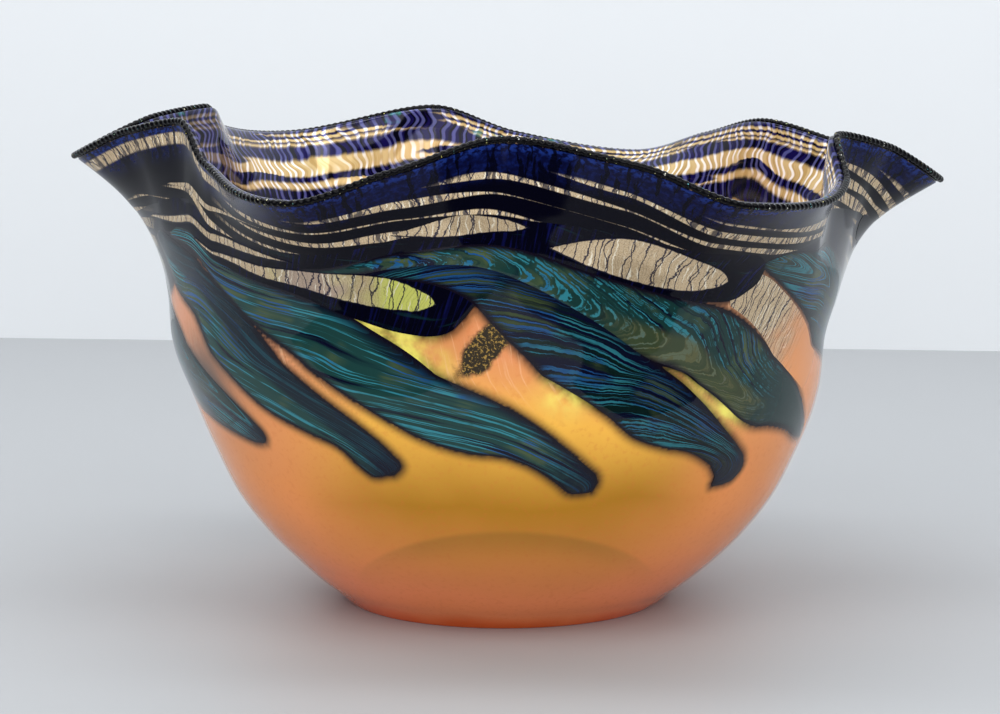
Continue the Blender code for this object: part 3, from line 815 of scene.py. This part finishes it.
def cord_material():
    g = Glass("lip_cord_black")
    # painted highlights: tiny fixed flecks of white, gold and green-blue on the black cord
    painted_highlight = g.noise(g.place, 900.0, 1.0)
    hue = g.noise(g.place, 160.0, 1.0)
    tint = g.ramp(hue, [(0.35, (0.7, 0.7, 0.65)), (0.5, (0.5, 0.45, 0.1)), (0.62, (0.1, 0.35, 0.4))])
    colour = g.mix(g.step(painted_highlight, 0.70, 0.76), (0.003, 0.003, 0.004), tint)
    g.set(Base_Color=colour)
    return gloss(g, 0.05, 1.22)


def body_material():
    g = Glass("body_amber")
    u, level, run, across = g.on_wall()
    warp = g.times(g.minus(g.noise(g.place, 22.0, 3.0), 0.5), 0.10)
    height = g.plus(level, warp)
    # amber by height: golden in front and behind, orange at the sides. The golden front and back are painted
    # light, the glow of the amber where it faces the main view.
    golden = g.ramp(height, [
        (0.0, (0.82, 0.11, 0.012)), (0.045, (1.00, 0.29, 0.100)), (0.12, (1.00, 0.30, 0.115)),
        (0.26, (0.76, 0.28, 0.060)), (0.38, (0.49, 0.215, 0.013)), (0.55, (0.98, 0.51, 0.075)),
        (0.66, (0.80, 0.30, 0.115)), (0.80, (0.62, 0.25, 0.100)),
    ])
    orange = g.ramp(height, [
        (0.0, (0.82, 0.11, 0.012)), (0.045, (1.00, 0.27, 0.100)), (0.12, (0.98, 0.29, 0.120)),
        (0.26, (0.92, 0.31, 0.095)), (0.40, (0.93, 0.33, 0.090)), (0.55, (0.90, 0.35, 0.120)),
        (0.66, (0.95, 0.40, 0.200)), (0.80, (0.70, 0.30, 0.130)),
    ])
    turned = g.math("COSINE", g.times(u, 4 * np.pi))
    turned = g.plus(turned, g.times(g.minus(g.noise(g.place, 12.0, 2.0), 0.5), 0.9))
    amber = g.mix(g.step(turned, 0.0, 0.85), orange, golden)
    speck = g.noise(g.place, 520.0, 2.0)
    amber = g.mix(g.times(g.step(speck, 0.50, 0.75), 0.22), amber, (0.70, 0.17, 0.04))
    halo = g.step(g.field("dark_mm"), -4.6, 0.6)
    soft = g.math("POWER", halo, 1.5)
    outside = g.mix(g.math("POWER", halo, 0.7), amber, g.mix(0.35, amber, (0.20, 0.10, 0.012)))
    outside = g.mix(soft, outside, HALO)
    veil = g.noise(g.vector(g.times(run, 0.55), g.times(across, 0.05), 8.0), 1.0, 3.0)
    night = g.mix(g.times(g.step(veil, 0.52, 0.70), 0.7), INK, COBALT)
    streak = g.times(stripes(g, u, level, 0.0016, 0.034, 0.775, 7.0), g.step(g.field("dark_mm"), 3.0, 4.5))
    streak = g.times(streak, g.step(g.math("ABSOLUTE", u), 0.21, 0.24))
    night = g.mix(streak, night, leaf_colour(g, run, across, 33.0, crack=2.8))
    outside = g.mix(g.step(g.field("dark_mm"), -0.5, 2.0), outside, night)
    outside = g.mix(g.step(level, 0.815, 0.840), outside, INK)
    # painted light: the glow patches turn the amber bright yellow
    glow = g.times(g.field("glow"), g.step(g.noise(g.place, 130.0, 3.0), 0.25, 0.65))
    outside = g.mix(glow, outside, (1.0, 0.88, 0.17))
    # painted glints: faint light slanted lines on the amber above level 0.6, away from the bits
    window = g.times(g.step(level, 0.56, 0.64), g.step(g.field("dark_mm"), 0.0, -2.0))
    slant = g.plus(g.times(run, 0.55), g.times(across, 0.30))
    glint = g.noise(g.vector(slant, g.times(across, 0.05), 14.0), 1.0, 3.0, 0.7)
    outside = g.mix(g.times(g.times(g.step(glint, 0.55, 0.68), window), 0.35), outside, (1.0, 0.60, 0.34))
    gold = g.step(g.noise(g.place, 1100.0, 3.0, 0.65), 0.53, 0.62)
    band = g.plus(g.field("fleck"), g.times(g.minus(g.noise(g.place, 260.0, 3.0), 0.5), 0.9))
    outside = g.mix(g.step(band, 0.30, 0.85), outside, g.mix(gold, (0.028, 0.020, 0.010), (0.36, 0.22, 0.05)))
    # painted reflection: brown-grey laid over the amber on the left
    outside = g.mix(g.times(g.field("painted_reflection"), 0.92), outside, (0.145, 0.100, 0.080))
    # painted shade: a darker arch low on the front and back, where the floor and its shadow show through the
    # glass
    shadow_arch_depth = g.plus(g.times(g.step(g.field("painted_shadow_arch"), 0.075, 0.0), 0.26), 0.16)
    painted_shadow_arch = g.times(g.step(g.field("painted_shadow_arch"), -0.004, 0.012), shadow_arch_depth)
    outside = g.mix(g.times(painted_shadow_arch, g.field("front")), outside, (0.25, 0.135, 0.022))
    bend = g.noise(g.vector(g.times(run, 0.045), g.times(across, 0.075), 4.0), 1.0, 1.0)
    upright = g.plus(run, g.times(bend, 13.0))
    # painted light: bright lines in the stripes inside, white in the leaf and blue in the cobalt, where light
    # from behind shines through
    lit = g.step(g.to_line(g.over(upright, 3.7)), 0.24, 0.09)
    lit = g.times(lit, g.step(g.noise(g.vector(run, across, 9.0), 0.06, 1.0), 0.30, 0.50))
    ribs = g.noise(g.vector(g.times(upright, 0.45), g.times(across, 0.03), 2.0), 1.0, 2.0)
    leaf = g.mix(g.step(ribs, 0.35, 0.65), (0.50, 0.34, 0.13), (0.66, 0.50, 0.24))
    leaf = g.mix(g.times(lit, 0.92), leaf, (1.0, 0.98, 0.93))
    swirl = g.times(g.minus(g.noise(g.place, 15.0, 2.0), 0.5), 0.130)
    swirl = g.times(swirl, g.step(level, 0.965, 0.88))
    ragged = g.times(g.minus(ribs, 0.5), 0.014)
    band = g.plus(g.plus(level, swirl), ragged)
    dark = g.mix(g.step(ribs, 0.46, 0.60), (0.001, 0.001, 0.006), (0.006, 0.004, 0.060))
    dark = g.mix(g.times(lit, 0.24), dark, (0.30, 0.33, 0.90))
    # levels where the silver stripes inside begin and end in turn
    edges = [0.745, 0.770, 0.822, 0.842, 0.864, 0.912, 0.946, 0.953, 0.960, 0.967, 0.974, 0.981]
    stops, on = [(0.0, (0, 0, 0))], False
    for place in edges:
        soft = 0.0035 if place < 0.94 else 0.0012
        stops += [(place - soft, (on,) * 3), (place + soft, (not on,) * 3)]
        on = not on
    silver = g.ramp(band, stops)
    patchy = g.noise(g.vector(g.times(run, 0.020), g.times(band, 24.0), 17.0), 1.0, 1.0)
    silver = g.times(silver, g.step(patchy, 0.36, 0.42))
    fold = g.times(g.step(u, -0.185, -0.205), g.step(u, -0.36, -0.33))
    silver = g.times(silver, g.minus(1.0, g.times(fold, 0.75)))
    lining = g.mix(silver, dark, leaf)
    # painted sheen: fixed green-blue flecks near the rim inside, in place of iridescent flashes
    sheen = g.times(g.step(g.noise(g.place, 75.0, 3.0), 0.62, 0.70), g.step(level, 0.94, 0.955))
    lining = g.mix(g.times(sheen, 0.55), lining, (0.02, 0.27, 0.24))
    shade = g.step(g.field("dark_mm"), -4.0, 3.5)
    low = g.mix(g.times(shade, 0.75), amber, (0.05, 0.03, 0.02))
    lining = g.mix(g.step(band, 0.70, 0.735), low, lining)
    colour = g.mix(g.field("inside"), outside, lining)
    g.set(Base_Color=colour, Metallic=0.15)
    return gloss(g, 0.08)


def dress(obj, material, nodes):
    obj.data.materials.append(material)
    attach(obj, "root")
    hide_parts(*nodes)


DARK_BITS = [(edges, turn) for edges, turn, *_ in FEATHERS.values()] + list(SWAGS.values())
for lower, turn in BODY_DARK:
    DARK_BITS.append(((lower, [(azimuth, BODY_DARK_TOP) for azimuth, _ in lower]), turn))

body = make_body()
dress(body, body_material(), ["body"])

collar = make_collar()
dress(collar, collar_material(), ["collar"])

cord = make_cord()
dress(cord, cord_material(), ["lip_cord"])

for node, (edges, turn, *pattern) in FEATHERS.items():
    lift = CROSSING_LIFT if edges in (FEATHER_D, FEATHER_E) else LOW_LIFT
    piece = make_bit(node + "_glass", edges, turn, lift, FEATHER_RISE)
    dress(piece, feather_material(node + "_teal", *pattern), [node])

swag_glass = swag_material()
for node, (edges, turn) in SWAGS.items():
    piece = make_bit(node + "_glass", edges, turn, SWAG_LIFT, THIN_RISE)
    dress(piece, swag_glass, [node])

for node, (edges, turn, seed) in LENSES.items():
    lift = LOW_LIFT if edges is LENS_WINDOW else LENS_LIFT
    piece = make_bit(node + "_leaf", edges, turn, lift, THIN_RISE, taper=1.5, along=120, across=16)
    if edges is LENS_WINDOW:
        material = window_material(node + "_silver", seed)
    else:
        material = lens_material(node + "_silver", seed, glow=edges is LENS_LONG)
    dress(piece, material, [node])


# ---------------------------------------------------------------- stage, light and camera
def plain(name, colour, roughness=0.5):
    material = bpy.data.materials.new(name)
    material.use_nodes = True
    shader = material.node_tree.nodes["Principled BSDF"]
    shader.inputs["Base Color"].default_value = (*colour, 1.0)
    shader.inputs["Roughness"].default_value = roughness
    return material


def sheet(name, corners, material):
    mesh = bpy.data.meshes.new(name)
    mesh.from_pydata(corners, [], [tuple(range(len(corners)))])
    mesh.materials.append(material)
    obj = bpy.data.objects.new(name, mesh)
    bpy.context.scene.collection.objects.link(obj)
    return obj


TABLE_HALF = 4
WALL_BACK = 0.70
WALL_HIGH = 3
WALL_YAW = np.radians(-5.4)
# Edge between the two sheets of the table. The nearer sheet doesn't show in reflections.
MIRRORED_EDGE = [
    (-TABLE_HALF, -0.16), (-0.60, -0.18), (-0.30, -0.20), (-0.16, -0.23), (-0.12, -0.26), (-0.09, -0.33),
    (-0.05, -0.44), (-0.01, -0.55), (0.01, -0.55), (0.04, -0.46), (0.09, -0.38), (0.12, -0.31), (0.13, -0.25),
    (0.17, -0.21), (0.30, -0.18), (TABLE_HALF, -0.16),
]
white_table = plain("table_white", (0.392, 0.407, 0.424), 0.50)
split = [(x, y, 0) for x, y in MIRRORED_EDGE]
far_corners = [(TABLE_HALF, TABLE_HALF, 0), (-TABLE_HALF, TABLE_HALF, 0)]
near_corners = [(-TABLE_HALF, -TABLE_HALF, 0), (TABLE_HALF, -TABLE_HALF, 0)]
sheet("table", split + far_corners, white_table)
front = sheet("table_front", near_corners + split[::-1], white_table)
front.visible_glossy = False

# The wall is see-through from behind, for the views that look through it.
backdrop = plain("wall_white", (0.70, 0.725, 0.75), 0.7)
tree = backdrop.node_tree
see_through = tree.nodes.new("ShaderNodeBsdfTransparent")
one_way = tree.nodes.new("ShaderNodeMixShader")
tree.links.new(tree.nodes.new("ShaderNodeNewGeometry").outputs["Backfacing"], one_way.inputs[0])
tree.links.new(tree.nodes["Principled BSDF"].outputs[0], one_way.inputs[1])
tree.links.new(see_through.outputs[0], one_way.inputs[2])
tree.links.new(one_way.outputs[0], tree.nodes["Material Output"].inputs[0])
side = np.tan(WALL_YAW) * TABLE_HALF
left, right = (-TABLE_HALF, WALL_BACK - side), (TABLE_HALF, WALL_BACK + side)
sheet("wall", [(*left, 0), (*right, 0), (*right, WALL_HIGH), (*left, WALL_HIGH)], backdrop)


def lamp(name, place, target, size, power):
    light = bpy.data.lights.new(name, "AREA")
    light.shape = "RECTANGLE"
    light.size, light.size_y = size
    light.energy = power
    obj = bpy.data.objects.new(name, light)
    obj.location = place
    obj.rotation_euler = (Vector(target) - Vector(place)).to_track_quat("-Z", "Y").to_euler()
    obj.visible_camera = False
    bpy.context.scene.collection.objects.link(obj)


lamp("key_left", (-1.1, -1.3, 1.5), (0, 0, 0.1), (1.4, 1.4), 15.5)
lamp("fill_right", (1.2, -1.2, 1.3), (0, 0, 0.1), (1.4, 1.4), 11.5)
lamp("top", (0, -0.3, 1.9), (0, -0.1, 0), (1.6, 1.6), 9)
lamp("front", (0, -1.8, 0.55), (0, 0, 0.05), (1.8, 0.8), 13)
lamp("wall_wash", (-0.2, 0.0, 1.6), (-0.1, 0.7, 0.25), (2.4, 0.4), 15)

world = bpy.data.worlds.new("room")
world.use_nodes = True
tree = world.node_tree
path = tree.nodes.new("ShaderNodeLightPath")
# The room is dark in reflections, lighter for the light it gives, and lightest as the background.
ROOM_IN_GLOSS = (0.030, 0.032, 0.036, 1.0)
ROOM_BY_RAY = {"Is Diffuse Ray": (0.40, 0.415, 0.43, 1.0), "Is Camera Ray": (0.78, 0.82, 0.86, 1.0)}
seen = ROOM_IN_GLOSS
for ray, colour in ROOM_BY_RAY.items():
    room = tree.nodes.new("ShaderNodeMix")
    room.data_type = "RGBA"
    if isinstance(seen, tuple):
        room.inputs[MIX_A].default_value = seen
    else:
        tree.links.new(seen, room.inputs[MIX_A])
    room.inputs[MIX_B].default_value = colour
    tree.links.new(path.outputs[ray], room.inputs["Factor"])
    seen = room.outputs[MIX_RESULT]
tree.links.new(seen, tree.nodes["Background"].inputs[0])
bpy.context.scene.world = world
bpy.context.scene.view_settings.view_transform = "Standard"

CAMERA_DISTANCE = 1.3      # assumed
CAMERA_HEIGHT = 0.288
CAMERA_PITCH = 8.41        # degrees down
FOCAL_MM, SENSOR_MM = 119.05, 36.0
SHIFT_X = -0.004
camera = bpy.data.cameras.new("camera")
camera.lens = FOCAL_MM
camera.sensor_width = SENSOR_MM
camera.shift_x = SHIFT_X
camera_object = bpy.data.objects.new("camera", camera)
camera_object.location = (0, -CAMERA_DISTANCE, CAMERA_HEIGHT)
camera_object.rotation_euler = (np.radians(90 - CAMERA_PITCH), 0, 0)
bpy.context.scene.collection.objects.link(camera_object)
bpy.context.scene.camera = camera_object
